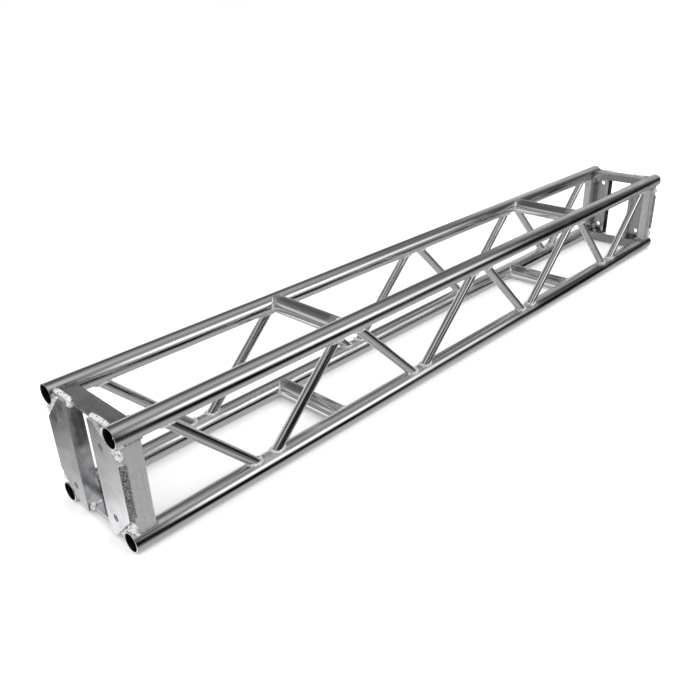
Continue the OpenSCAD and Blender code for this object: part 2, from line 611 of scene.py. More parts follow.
@dataclass(frozen=True)
class TubeFinish:
    """Mill-finish tube: bright, with fine lines along it and dulled patches beside the welds.

    Attributes:
        name: The material's name.
        heat: Where welding has dulled it.
        pitch: Distance between lacing points.
        tone: Brightness of the clean metal.
        roughness: Roughness of the clean metal.
        end_fade: Distances from a tube's end between which the dulling fades out.
        point_fade: Distances from a lacing point between which it fades out.
        turn_fade: Distances from the tube's axis, towards the braces, between which it comes in.
        heat_tone: Brightness of dulled metal, as a share of the clean metal's.
        heat_oxide: Share of oxide in the dulled skin.
        heat_roughness: What the dulling adds to the roughness.
    """

    name: str
    heat: HeatPlace
    pitch: float
    tone: float = 0.92
    roughness: float = 0.12
    end_fade: tuple[float, float] = (0.006, 0.034)
    point_fade: tuple[float, float] = (0.035, 0.065)
    turn_fade: tuple[float, float] = (0.006, 0.021)
    heat_tone: float = 0.84
    heat_oxide: float = 0.12
    heat_roughness: float = 0.16

    def heat_mask(self, bench: NodeBench, grain: Socket) -> Socket:
        """Where the metal is dulled, from 0 to 1.

        Args:
            bench: The material's bench.
            grain: The tube's own coordinates: along it, across it, and towards the braces.

        Returns:
            The mask's socket.
        """
        parts = bench.axes(grain)
        if self.heat is HeatPlace.TUBE_ENDS:
            reach = bench.add("ShaderNodeAttribute", attribute_name=REACH).outputs["Fac"]
            from_end = bench.math("SUBTRACT", reach, bench.math("ABSOLUTE", parts["X"]))
            return bench.ramp(from_end, *self.end_fade, 1.0, 0.0)
        from_point = bench.math("PINGPONG", parts["X"], self.pitch)
        if self.heat is HeatPlace.ODD_LACING_POINTS:
            from_point = bench.math("SUBTRACT", self.pitch, from_point)
        near = bench.ramp(from_point, *self.point_fade, 1.0, 0.0)
        return bench.math("MULTIPLY", near, bench.ramp(parts["Z"], *self.turn_fade))

    def material(self) -> bpy.types.Material:
        """Make the material.

        Returns:
            The material.
        """
        material, bench, shader = new_metal(self.name)
        grain = bench.grain()
        lines = bench.noise(grain, (2.5, 420, 420), 4)
        fine_lines = bench.noise(grain, (9, 2600, 2600), 2)
        clouds = bench.noise(grain, (11, 30, 30), 3)
        blotches = bench.ramp(bench.noise(grain, (90, 90, 90), 4), 0.3, 0.62, 0.35, 1.0)
        heat = bench.math("MULTIPLY", self.heat_mask(bench, grain), blotches)
        clean = bench.blend(bench.ramp(lines, 0.36, 0.64), grey(self.tone * 0.9), grey(self.tone))
        dulled = grey(self.tone * self.heat_tone, 0.005)
        bench.feed(shader.inputs["Base Color"], bench.blend(heat, clean, dulled))
        bench.feed(shader.inputs["Metallic"], bench.math("MULTIPLY_ADD", heat, -self.heat_oxide, 1.0))
        streaked = bench.ramp(lines, 0.32, 0.7, self.roughness - 0.03, self.roughness + 0.07)
        clouded = bench.math("ADD", streaked, bench.ramp(clouds, 0.42, 0.72, 0.0, 0.08))
        bench.feed(shader.inputs["Roughness"], bench.math("MULTIPLY_ADD", heat, self.heat_roughness, clouded))
        drawn = bench.relief(fine_lines, 0.00002, 0.6)
        bench.feed(shader.inputs["Normal"], bench.relief(lines, 0.00005, 0.5, drawn))
        return material


@dataclass(frozen=True)
class BoreFinish:
    """Inside of a tube: a dull skin, near black as painted shade deep in the bore.

    Attributes:
        name: The material's name.
        tone: Its brightness, kept near black as painted shade.
    """

    name: str = "tube_bore_painted_shade"
    # near-black tone: painted shade inside the tubes
    tone: float = 0.045

    def material(self) -> bpy.types.Material:
        """Make the material.

        Returns:
            The material.
        """
        material, bench, shader = new_metal(self.name)
        grain = bench.grain()
        lines = bench.noise(grain, (3, 300, 300), 3)
        bench.feed(
            shader.inputs["Base Color"],
            bench.blend(bench.ramp(lines, 0.35, 0.65), grey(self.tone * 0.6), grey(self.tone)),
        )
        bench.feed(shader.inputs["Roughness"], bench.ramp(lines, 0.3, 0.7, 0.45, 0.65))
        return material


@dataclass(frozen=True)
class BarFinish:
    """Flat mill-finish bar or plate: satin, with rolling lines and rubbed patches.

    Attributes:
        name: The material's name.
        lines_scale: Waves per metre of the rolling lines along X, Y and Z.
        tone: Brightness of the metal.
        roughness: Its roughness.
        metal_share: Share of bare metal in its skin; the rest is frosted.
    """

    name: str
    lines_scale: tuple[float, float, float]
    tone: float = 0.86
    roughness: float = 0.27
    metal_share: float = 1.0

    def material(self) -> bpy.types.Material:
        """Make the material.

        Returns:
            The material.
        """
        material, bench, shader = new_metal(self.name)
        shader.inputs["Metallic"].default_value = self.metal_share
        place = bench.place()
        lines = bench.noise(place, self.lines_scale, 4)
        clouds = bench.noise(place, (24, 24, 24), 4)
        specks = bench.noise(place, (700, 700, 700), 2)
        rolled = bench.blend(bench.ramp(lines, 0.38, 0.62), grey(self.tone * 0.91), grey(self.tone))
        bench.feed(
            shader.inputs["Base Color"],
            bench.blend(bench.ramp(clouds, 0.5, 0.72, 0.0, 0.6), rolled, grey(self.tone * 0.8, 0.005)),
        )
        rubbed = bench.ramp(clouds, 0.34, 0.66, self.roughness - 0.05, self.roughness + 0.09)
        bench.feed(
            shader.inputs["Roughness"], bench.math("ADD", rubbed, bench.ramp(lines, 0.35, 0.65, 0.0, 0.06))
        )
        rolled_relief = bench.relief(lines, 0.00004, 0.5)
        bench.feed(shader.inputs["Normal"], bench.relief(specks, 0.00002, 0.35, rolled_relief))
        return material


@dataclass(frozen=True)
class SawnFinish:
    """Sawn or drilled edge of a plate or an angle, with tool marks across it.

    Attributes:
        name: The material's name.
        tone: Brightness of the metal.
        metal_share: Share of bare metal in its skin.
    """

    name: str = "sawn_edge"
    tone: float = 0.9
    metal_share: float = 0.85

    def material(self) -> bpy.types.Material:
        """Make the material.

        Returns:
            The material.
        """
        material, bench, shader = new_metal(self.name)
        shader.inputs["Metallic"].default_value = self.metal_share
        place = bench.place()
        marks = bench.noise(place, (60, 1300, 1300), 2)
        bench.feed(
            shader.inputs["Base Color"],
            bench.blend(bench.ramp(marks, 0.35, 0.65), grey(self.tone * 0.8), grey(self.tone)),
        )
        bench.feed(shader.inputs["Roughness"], bench.ramp(marks, 0.3, 0.7, 0.26, 0.42))
        bench.feed(shader.inputs["Normal"], bench.relief(marks, 0.00012, 0.6))
        return material


@dataclass(frozen=True)
class WeldFinish:
    """Weld metal: frosted bright ripples with soot in the hollows and a grainy skin.

    Attributes:
        name: The material's name.
        tone: Brightness of the metal.
        roughness: Roughness of the bright parts.
        metal_share: Share of bare metal in its frosted skin.
        soot: How dark the sooty patches are.
        lump_depth: Depth of the lumps in its skin.
    """

    name: str
    tone: float = 0.95
    roughness: float = 0.24
    metal_share: float = 0.8
    soot: float = 0.45
    lump_depth: float = 0.0004

    def material(self) -> bpy.types.Material:
        """Make the material.

        Returns:
            The material.
        """
        material, bench, shader = new_metal(self.name)
        shader.inputs["Metallic"].default_value = self.metal_share
        place = bench.place()
        lumps = bench.noise(place, (260, 260, 260), 3)
        grains = bench.noise(place, (1500, 1500, 1500), 2)
        soot = bench.ramp(bench.noise(place, (210, 210, 210), 4), 0.51, 0.64, 0.0, self.soot)
        bright = bench.blend(bench.ramp(lumps, 0.35, 0.6), grey(self.tone * 0.88), grey(self.tone))
        bench.feed(shader.inputs["Base Color"], bench.blend(soot, bright, grey(self.tone * 0.2, 0.01)))
        bench.feed(
            shader.inputs["Roughness"], bench.ramp(lumps, 0.35, 0.65, self.roughness, self.roughness + 0.18)
        )
        skin = bench.relief(grains, 0.00006, 0.5)
        bench.feed(shader.inputs["Normal"], bench.relief(lumps, self.lump_depth, 0.7, skin))
        return material


# ---------------------------------------------------------------------------------------------------------
# Tubes
# ---------------------------------------------------------------------------------------------------------

BORE_NUMBER = 1


def solid_rod(start: Vector, stop: Vector, radius: float, sides: int = 64) -> bpy.types.Object:
    """Closed round rod between two points.

    Args:
        start: Middle of one end.
        stop: Middle of the other end.
        radius: Its radius.
        sides: Number of faces round it.

    Returns:
        The rod.
    """
    axis = stop - start
    bpy.ops.mesh.primitive_cylinder_add(
        vertices=sides, radius=radius, depth=axis.length, location=(start + stop) / 2,
        rotation=axis.to_track_quat("Z", "Y").to_euler(), end_fill_type="NGON",
    )
    rod = bpy.context.object
    settle(rod)
    return rod


@dataclass
class Tube:
    """One straight tube.

    Attributes:
        start: Middle of one end.
        stop: Middle of the other end.
        radius: Outside radius.
        wall: Thickness of its wall.
        rim: Rounding of its open ends, or 0 where they are welded shut.
    """

    start: Vector
    stop: Vector
    radius: float
    wall: float
    rim: float = 0.0

    @property
    def along(self) -> Vector:
        """Direction from the start to the stop."""
        return (self.stop - self.start).normalized()

    def out_from_axis(self, point: Vector) -> float:
        """Distance of a point from the tube's axis."""
        arm = point - self.start
        return (arm - arm.dot(self.along) * self.along).length

    def make(self, name: str) -> bpy.types.Object:
        """Make the tube with a bore and rounded rims.

        Args:
            name: The object's name.

        Returns:
            The tube.
        """
        tube = solid_rod(self.start, self.stop, self.radius)
        tube.name = name
        bore_r = self.radius - self.wall

        def both_at(edge: bmesh.types.BMEdge, radius: float) -> bool:
            """Whether both ends of an edge lie at a radius."""
            return all(abs(self.out_from_axis(vert.co) - radius) < TINY * 4 for vert in edge.verts)

        def across(edge: bmesh.types.BMEdge) -> bool:
            """Whether an edge runs round the tube."""
            run = edge.verts[1].co - edge.verts[0].co
            return abs(run.normalized().dot(self.along)) < ASIDE

        with EditTable(tube) as table:
            table.pick_faces(lambda face: abs(face.normal.dot(self.along)) > FACING)
            bpy.ops.mesh.inset(thickness=self.wall, use_even_offset=False)
            bpy.ops.mesh.delete(type="ONLY_FACE")
            table.pick_edges(lambda edge: edge.is_boundary)
            bpy.ops.mesh.bridge_edge_loops()
            if self.rim:
                table.pick_edges(
                    lambda edge: across(edge) and (both_at(edge, self.radius) or both_at(edge, bore_r))
                )
                bpy.ops.mesh.bevel(offset=self.rim, segments=2, affect="EDGES")
            table.pick_all()
            bpy.ops.mesh.normals_make_consistent(inside=False)
        return tube

    def mark(self, tube: bpy.types.Object, inward: Vector) -> None:
        """Write the tube's own coordinates into its mesh, and number the faces of its bore.

        Args:
            tube: The finished tube.
            inward: Direction towards the braces, square to the tube.
        """
        mesh = tube.data
        middle = (self.start + self.stop) / 2
        across = self.along.cross(inward)
        mesh.attributes.new(GRAIN, "FLOAT_VECTOR", "POINT")
        mesh.attributes.new(REACH, "FLOAT", "POINT")
        grain, reach = mesh.attributes[GRAIN], mesh.attributes[REACH]
        half = (self.stop - self.start).length / 2
        for vert in mesh.vertices:
            arm = vert.co - middle
            grain.data[vert.index].vector = (arm.dot(self.along), arm.dot(across), arm.dot(inward))
            reach.data[vert.index].value = half
        for face in mesh.polygons:
            arm = face.center - middle
            out = arm - arm.dot(self.along) * self.along
            if out.length < self.radius - self.wall / 2 and face.normal.dot(out) < 0:
                face.material_index = BORE_NUMBER


@dataclass
class Chords:
    """The four long tubes.

    Attributes:
        layout: Main sizes.
        rim: Rounding of the open ends.
    """

    layout: Layout
    rim: float = 0.0006

    def build(self, finishes: dict[Level, bpy.types.Material], bore: bpy.types.Material) -> None:
        """Make and dress the chords.

        Args:
            finishes: Finish of the chords at each level.
            bore: Finish of their inside.
        """
        reach = Vector((self.layout.half_length, 0, 0))
        axis = self.layout.chord_axis(Side.REAR, Level.TOP)
        run = Tube(axis - reach, axis + reach, self.layout.chord_r, self.layout.wall, self.rim)
        pattern = run.make("chord_pattern")
        shade(pattern)
        run.mark(pattern, Vector((0, 0, -1)))
        for level in Level:
            for side in Side:
                node = f"chord_{word(level)}_{word(side)}"
                flip = self.layout.centre_z if level is Level.BOTTOM else 0.0
                chord = moved_copy(pattern, node + "_tube", mirror(side=side, level_flip=flip))
                hand_in(chord, (finishes[level], bore), node)
        bpy.data.objects.remove(pattern)


@dataclass
class SideLacing:
    """The sixteen zigzag braces.

    Attributes:
        layout: Main sizes.
        bite: How far a brace's coped end reaches into the chord's skin.
        cope_reach: Reach of the coping cut to each side, in chord radii.
    """

    layout: Layout
    bite: float = 0.0002
    cope_reach: float = 5.0

    def pattern(self, k: int) -> tuple[Tube, bpy.types.Object]:
        """Make brace k of the right rear quarter, coped on both chords.

        Args:
            k: Place of the brace, from 1 at the middle to BAYS at the end.

        Returns:
            The tube's sizes and the object.
        """
        top, bottom = self.layout.brace_ends(k)
        run = Tube(top, bottom, self.layout.brace_r, self.layout.wall)
        brace = run.make(f"brace_pattern_{k}")
        reach = Vector((self.layout.chord_r * self.cope_reach, 0, 0))
        drill(brace, (top, bottom), reach, self.layout.chord_r - self.bite)
        shade(brace)
        return run, brace

    def build(self, finish: bpy.types.Material, bore: bpy.types.Material) -> None:
        """Make and dress the braces.

        Args:
            finish: Finish of their outside.
            bore: Finish of their inside.
        """
        for k in range(1, BAYS + 1):
            run, pattern = self.pattern(k)
            for end in End:
                number = BAYS + k if end is End.RIGHT else BAYS + 1 - k
                for side in Side:
                    node = f"brace_{word(side)}_{number}"
                    brace = moved_copy(pattern, node + "_tube", Matrix.Identity(4))
                    run.mark(brace, Vector((0, 1, 0)))
                    brace.data.transform(mirror(end, side))
                    if end.value * side.value < 0:
                        brace.data.flip_normals()
                    hand_in(brace, (finish, bore), node)
            bpy.data.objects.remove(pattern)


@dataclass
class CrossTubes:
    """The four tubes that join front and rear chords.

    Attributes:
        layout: Main sizes.
        bite: How far a coped end reaches into the chord's skin.
        cope_reach: Reach of the coping cut to each side, in chord radii.
    """

    layout: Layout
    bite: float = 0.0002
    cope_reach: float = 3.0

    def build(self, finish: bpy.types.Material, bore: bpy.types.Material) -> None:
        """Make and dress the cross tubes.

        Args:
            finish: Finish of their outside.
            bore: Finish of their inside.
        """
        layout = self.layout
        _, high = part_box("cross_tube_top_right")
        middle = Vector((layout.cross_tube_x, 0, layout.centre_z + layout.half_spacing))
        reach = Vector((0, high.y, 0))
        run = Tube(middle - reach, middle + reach, layout.chord_r, layout.wall)
        pattern = run.make("cross_tube_pattern")
        half_cut = Vector((layout.chord_r * self.cope_reach, 0, 0))
        across = Vector((0, layout.half_spacing, 0))
        drill(pattern, (middle - across, middle + across), half_cut, layout.chord_r - self.bite)
        shade(pattern)
        run.mark(pattern, Vector((0, 0, -1)))
        for level in Level:
            for end in End:
                node = f"cross_tube_{word(level)}_{word(end)}"
                flip = layout.centre_z if level is Level.BOTTOM else 0.0
                tube = moved_copy(pattern, node + "_tube", mirror(end, level_flip=flip))
                hand_in(tube, (finish, bore), node)
        bpy.data.objects.remove(pattern)


# ---------------------------------------------------------------------------------------------------------
# End frames
# ---------------------------------------------------------------------------------------------------------

EDGE_NUMBER = 1


@dataclass
class EndFrames:
    """Bolt plates and frame angles of both ends.

    Attributes:
        layout: Main sizes.
        plate_t: Thickness of a bolt plate.
        flange_t: Thickness of its flange.
        flange_depth: Depth of its flange from the bolting face.
        top_edge: Length of its straight top edge.
        outer_edge: Length of its straight outer edge.
        root_r: Rounding between a plate and its flange, and between an angle's legs.
        root_steps: Steps across that rounding.
        hole_r: Radius of a bolt hole.
        bolts_y: Bolt spacing across the section.
        bolts_z: Bolt spacing up the section.
        angle_w: Wide leg of the frame angles.
        angle_d: Short leg of the frame angles.
        angle_t: Thickness of the frame angles.
        edge_r: Rounding of the edges.
    """

    layout: Layout
    plate_t: float = 0.0127
    flange_t: float = 0.0095
    flange_depth: float = 0.035
    top_edge: float = 0.0235
    outer_edge: float = 0.134
    root_r: float = 0.005
    root_steps: int = 4
    hole_r: float = 0.00875
    bolts_y: float = 0.165
    bolts_z: float = 0.175
    angle_w: float = 0.04445
    angle_d: float = 0.0254
    angle_t: float = 0.0095
    edge_r: float = 0.0008

    def spot(self, inboard: float, y: float, z: float) -> Vector:
        """Point at the right end, from its depth behind the bolting face and its place from the centre."""
        return Vector((self.layout.half_length - inboard, y, self.layout.centre_z + z))

    def block(self, low: Vector, high: Vector) -> bpy.types.Object:
        """Rectangular block between two corners, ready to be shaped.

        Args:
            low: One corner.
            high: The opposite corner.

        Returns:
            The block.
        """
        bpy.ops.mesh.primitive_cube_add(size=1, location=(low + high) / 2)
        block = bpy.context.object
        block.scale = [abs(reach) for reach in high - low]
        settle(block)
        return block

    def bolt_plate(self) -> bpy.types.Object:
        """Right rear bolt plate with its flange, holes and rounded edges.

        Returns:
            The plate.
        """
        low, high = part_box("bolt_plate_right_rear")
        half_h = (high.z - low.z) / 2
        flange_half_h = half_h - self.angle_t
        inner_y, outer_y = low.y, high.y
        plate = self.block(self.spot(self.plate_t, inner_y, -half_h), self.spot(0, outer_y, half_h))
        corner = Vector((0, outer_y - inner_y - self.top_edge, half_h - self.outer_edge / 2))
        back_x = self.layout.half_length - self.plate_t
        root_y = inner_y + self.flange_t
        with EditTable(plate) as table:
            for level in (-1, 1):
                slope = Vector((0, corner.z, level * corner.y))
                table.slice(self.spot(0, outer_y, level * self.outer_edge / 2), slope, drop_outside=True)
                table.slice(self.spot(0, 0, level * flange_half_h), Vector((0, 0, 1)))
            table.slice(self.spot(0, root_y, 0), Vector((0, 1, 0)))
            table.pick_faces(
                lambda face: face.normal.x < -FACING
                and face.calc_center_median().y < root_y
                and abs(face.calc_center_median().z - self.layout.centre_z) < flange_half_h
            )
            table.pull(Vector((self.plate_t - self.flange_depth, 0, 0)))
            table.pick_edges(
                lambda edge: all(
                    abs(vert.co.x - back_x) < TINY
                    and abs(vert.co.y - root_y) < TINY
                    and abs(vert.co.z - self.layout.centre_z) < flange_half_h + TINY
                    for vert in edge.verts
                )
            )
            bpy.ops.mesh.bevel(offset=self.root_r, segments=self.root_steps, affect="EDGES")
        through = Vector((self.plate_t, 0, 0))
        holes = [self.spot(self.plate_t / 2, self.bolts_y / 2, level * self.bolts_z / 2) for level in (-1, 1)]
        drill(plate, holes, through, self.hole_r, DRILL_SIDES)
        self.number_edges(plate, holes)
        soften_edges(plate, self.edge_r)
        return plate

    def number_edges(self, plate: bpy.types.Object, holes: Sequence[Vector]) -> None:
        """Number the sawn faces of a plate and the walls of its holes.

        Args:
            plate: The plate.
            holes: Middles of its holes.
        """
        hole_reach = 1.3 * self.hole_r
        slanting = 0.5
        for face in plate.data.polygons:
            in_plate = face.center.x > self.layout.half_length - self.plate_t - TINY
            in_hole = any((face.center - hole).length < hole_reach for hole in holes)
            sideways = abs(face.normal.x) < ASIDE
            if sideways and in_plate and (in_hole or abs(face.normal.z) > slanting):
                face.material_index = EDGE_NUMBER

    def frame_angle(self) -> bpy.types.Object:
        """Right rear side angle, coped on the chords.

        Returns:
            The angle.
        """
        spacing = self.layout.half_spacing
        face_y = spacing + self.angle_d / 2
        leg_y = face_y - self.angle_t
        far = self.plate_t + self.angle_w
        root_x = self.layout.half_length - far + self.angle_t
        angle = self.block(self.spot(far, leg_y, -spacing), self.spot(self.plate_t, face_y, spacing))
        with EditTable(angle) as table:
            table.slice(self.spot(far - self.angle_t, 0, 0), Vector((1, 0, 0)))
            table.pick_faces(lambda face: face.normal.y < -FACING and face.calc_center_median().x < root_x)
            table.pull(Vector((0, self.angle_t - self.angle_d, 0)))
            table.pick_edges(
                lambda edge: all(
                    abs(vert.co.x - root_x) < TINY and abs(vert.co.y - leg_y) < TINY for vert in edge.verts
                )
            )
            bpy.ops.mesh.bevel(offset=self.root_r, segments=self.root_steps, affect="EDGES")
        chords = [self.spot(far - self.angle_w / 2, spacing, level * spacing) for level in (-1, 1)]
        drill(angle, chords, Vector((2 * self.angle_w, 0, 0)), self.layout.chord_r)
        soften_edges(angle, self.edge_r)
        return angle

    def quarter_turn(self, level: Level) -> Matrix:
        """Turn about the section's centre line that lays a side angle at the top or the bottom."""
        centre = Matrix.Translation(self.layout.centre)
        return centre @ Matrix.Rotation(level.value * math.pi / 2, 4, "X") @ centre.inverted()

    def place(
        self, pattern: bpy.types.Object, node: str, move: Matrix, finishes: Sequence[bpy.types.Material],
        slot: str,
    ) -> None:
        """Put a copy of a bar in its place and dress it.

        Args:
            pattern: The bar at the right rear.
            node: The node that the copy replaces.
            move: Mirror or turn that carries the bar to its place.
            finishes: Its materials.
            slot: Not used.
        """
        bar = moved_copy(pattern, node + "_bar", move)
        keep_flat(bar)
        hand_in(bar, finishes, node)

    def build(
        self, plate_finish: bpy.types.Material, upright: bpy.types.Material, level_finish: bpy.types.Material,
        edge: bpy.types.Material,
    ) -> None:
        """Make and dress both end frames.

        Args:
            plate_finish: Finish of the bolt plates.
            upright: Finish of the upright angles.
            level_finish: Finish of the level angles, darker than the upright ones as painted shade.
            edge: Finish of sawn edges and drilled holes.
        """
        plate, angle = self.bolt_plate(), self.frame_angle()
        for end in End:
            for side in Side:
                move, where = mirror(end, side), f"{word(end)}_{word(side)}"
                self.place(plate, "bolt_plate_" + where, move, (plate_finish, edge), "plate")
                self.place(angle, "side_angle_" + where, move, (upright,), "angle")
            for level in Level:
                move = mirror(end) @ self.quarter_turn(level)
                self.place(angle, f"{word(level)}_angle_{word(end)}", move, (level_finish,), "angle")
        for pattern in (plate, angle):
            bpy.data.objects.remove(pattern)


# ---------------------------------------------------------------------------------------------------------
# Weld beads
# ---------------------------------------------------------------------------------------------------------


@dataclass
class BeadGun:
    """Lays rippled beads along drawn paths.

    Attributes:
        ripple: Distance from one ripple to the next.
        steps: Points along one ripple.
        swell: How much a ripple swells the bead, as a share of its radius.
        unevenness: Chance changes of the radius, as a share of it.
        dents: Chance dents of a lump, as a share of its least reach.
        seed: Start of the chance numbers.
    """

    ripple: float = 0.0032
    steps: int = 4
    swell: float = 0.2
    unevenness: float = 0.05
    dents: float = 0.09
    seed: int = 7

    def __post_init__(self) -> None:
        """Start the chance numbers."""
        self.chance = random.Random(self.seed)

    def even_points(self, path: Sequence[Vector], closed: bool, step: float) -> list[Vector]:
        """Points at even steps along a path.

        Args:
            path: Corners or close points of the path.
            closed: Whether the last point joins the first.
            step: Wanted distance between points.

        Returns:
            The points.
        """
        corners = list(path) + ([path[0]] if closed else [])
        lengths = [(after - before).length for before, after in zip(corners, corners[1:])]
        total = sum(lengths)
        count = max(4, round(total / step))
        points, place, walked = [], 0, 0.0
        for number in range(count if closed else count + 1):
            target = total * number / count
            while place < len(lengths) - 1 and walked + lengths[place] < target:
                walked += lengths[place]
                place += 1
            share = (target - walked) / max(lengths[place], TINY)
            points.append(corners[place].lerp(corners[place + 1], min(share, 1.0)))
        return points

    def lay(self, path: Sequence[Vector], radius: float, closed: bool = False) -> bpy.types.Object:
        """Lay one bead.

        Args:
            path: Corners or close points of its middle line.
            radius: Its radius.
            closed: Whether it runs all the way round.

        Returns:
            The bead as a closed mesh.
        """
        tip_start = 0.4
        points = self.even_points(path, closed, self.ripple / self.steps)
        curve = bpy.data.curves.new("bead", "CURVE")
        curve.dimensions = "3D"
        curve.bevel_depth = radius
        curve.bevel_resolution = 2
        curve.use_fill_caps = not closed
        spline = curve.splines.new("POLY")
        spline.points.add(len(points) - 1)
        spline.use_cyclic_u = closed
        lump = 0.0
        for number, point in enumerate(points):
            phase = number % self.steps
            if phase == 0:
                lump = self.chance.uniform(-self.unevenness, self.unevenness)
            ripple = self.swell * (phase / self.steps - 0.5)
            from_tip = self.steps if closed else min(number, len(points) - 1 - number)
            tip = math.sqrt(min(1.0, (from_tip + tip_start) / self.steps))
            spline.points[number].co = (*point, 1.0)
            spline.points[number].radius = (1.0 + ripple + lump) * tip
        bead = bpy.data.objects.new("bead", curve)
        bpy.context.scene.collection.objects.link(bead)
        take(bead)
        bpy.ops.object.convert(target="MESH")
        return bpy.context.object

    def blob(self, middle: Vector, size: Vector) -> bpy.types.Object:
        """Put down one lump of weld metal.

        Args:
            middle: Its middle.
            size: Its reach along X, Y and Z.

        Returns:
            The lump.
        """
        bpy.ops.mesh.primitive_ico_sphere_add(subdivisions=4, radius=1.0, location=middle)
        lump = bpy.context.object
        lump.scale = size
        settle(lump)
        with EditTable(lump) as table:
            table.pick_all()
            bpy.ops.transform.vertex_random(
                offset=min(size) * self.dents, uniform=0.4, normal=0.6, seed=self.chance.randrange(999)
            )
            bpy.ops.mesh.vertices_smooth(factor=0.5, repeat=1)
        return lump


def dress_beads(beads: bpy.types.Object, finishes: Sequence[bpy.types.Material], node: str) -> None:
    """Shade joined beads and hand them in.

    Args:
        beads: The beads of one node.
        finishes: Their materials.
        node: The node that they replace.
    """
    shade(beads, BEAD_ANGLE)
    hand_in(beads, finishes, node)


@dataclass
class BraceWelds:
    """Fillet beads round the brace ends on each chord.

    Attributes:
        layout: Main sizes.
        radius: Radius of a bead.
        lift: How far its middle line stands off both tubes.
        points: Points round one ring.
    """

    layout: Layout
    radius: float = 0.0043
    lift: float = 0.0004
    points: int = 96

    def ring(self, k: int, level: Level) -> list[Vector]:
        """Middle line of the bead round one end of brace k, on the right rear quarter.

        Args:
            k: Place of the brace.
            level: The chord that it meets.

        Returns:
            Points round the joint.
        """
        top, bottom = self.layout.brace_ends(k)
        foot = top if level is Level.TOP else bottom
        along = ((bottom - top) * level.value).normalized()
        sideways = Vector((0, 1, 0))
        upways = along.cross(sideways)
        reach_out = self.layout.brace_r + self.lift
        chord_r = self.layout.chord_r + self.lift
        ring = []
        for number in range(self.points):
            angle = math.tau * number / self.points
            arm = reach_out * (math.cos(angle) * upways + math.sin(angle) * sideways)
            rise = math.sqrt(chord_r**2 - arm.y**2)
            travel = (-level.value * rise - arm.z) / along.z
            ring.append(foot + arm + travel * along)
        return ring

    def build(self, gun: BeadGun, finish: bpy.types.Material) -> None:
        """Lay and dress the beads of every chord.

        Args:
            gun: Lays the beads.
            finish: Their finish.
        """
        for level in Level:
            rings = [gun.lay(self.ring(k, level), self.radius, closed=True) for k in range(1, BAYS + 1)]
            pattern = joined(rings, "brace_weld_pattern")
            for side in Side:
                halves = [moved_copy(pattern, "half", mirror(end, side)) for end in End]
                node = f"brace_welds_{word(level)}_{word(side)}"
                dress_beads(joined(halves, node + "_beads"), (finish,), node)
            bpy.data.objects.remove(pattern)


@dataclass
class CrossTubeWelds:
    """Fillet beads round the ends of the cross tubes.

    Attributes:
        layout: Main sizes.
        radius: Radius of a bead.
        lift: How far its middle line stands off both tubes.
        tuck: How far it keeps inside the tubes' top and bottom, in bead radii.
        points: Points round one ring.
    """

    layout: Layout
    radius: float = 0.0042
    lift: float = 0.0004
    tuck: float = 1.2
    points: int = 140

    def ring(self) -> list[Vector]:
        """Middle line of the bead at the rear end of the top right cross tube.

        Returns:
            Points round the joint.
        """
        layout = self.layout
        reach_out = layout.chord_r + self.lift
        half_height = layout.chord_r - self.tuck * self.radius
        axis_z = layout.centre_z + layout.half_spacing
        _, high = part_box("cross_tube_top_right")
        ring = []
        for number in range(self.points):
            angle = math.tau * number / self.points
            rise = layout.chord_r * math.sin(angle)
            gap = math.sqrt(max(reach_out**2 - rise**2, 0.0))
            x = layout.cross_tube_x + reach_out * math.cos(angle)
            y = min(layout.half_spacing - gap, high.y)
            ring.append(Vector((x, y, axis_z + half_height * math.sin(angle))))
        return ring

    def build(self, gun: BeadGun, finish: bpy.types.Material) -> None:
        """Lay and dress the beads of all cross tubes.

        Args:
            gun: Lays the beads.
            finish: Their finish.
        """
        node = "cross_tube_welds"
        pattern = gun.lay(self.ring(), self.radius, closed=True)
        rings = [
            moved_copy(pattern, "ring", mirror(end, side, flip))
            for end in End for side in Side for flip in (0.0, self.layout.centre_z)
        ]
        dress_beads(joined(rings, node + "_beads"), (finish,), node)
        bpy.data.objects.remove(pattern)


SOOTY_NUMBER = 1


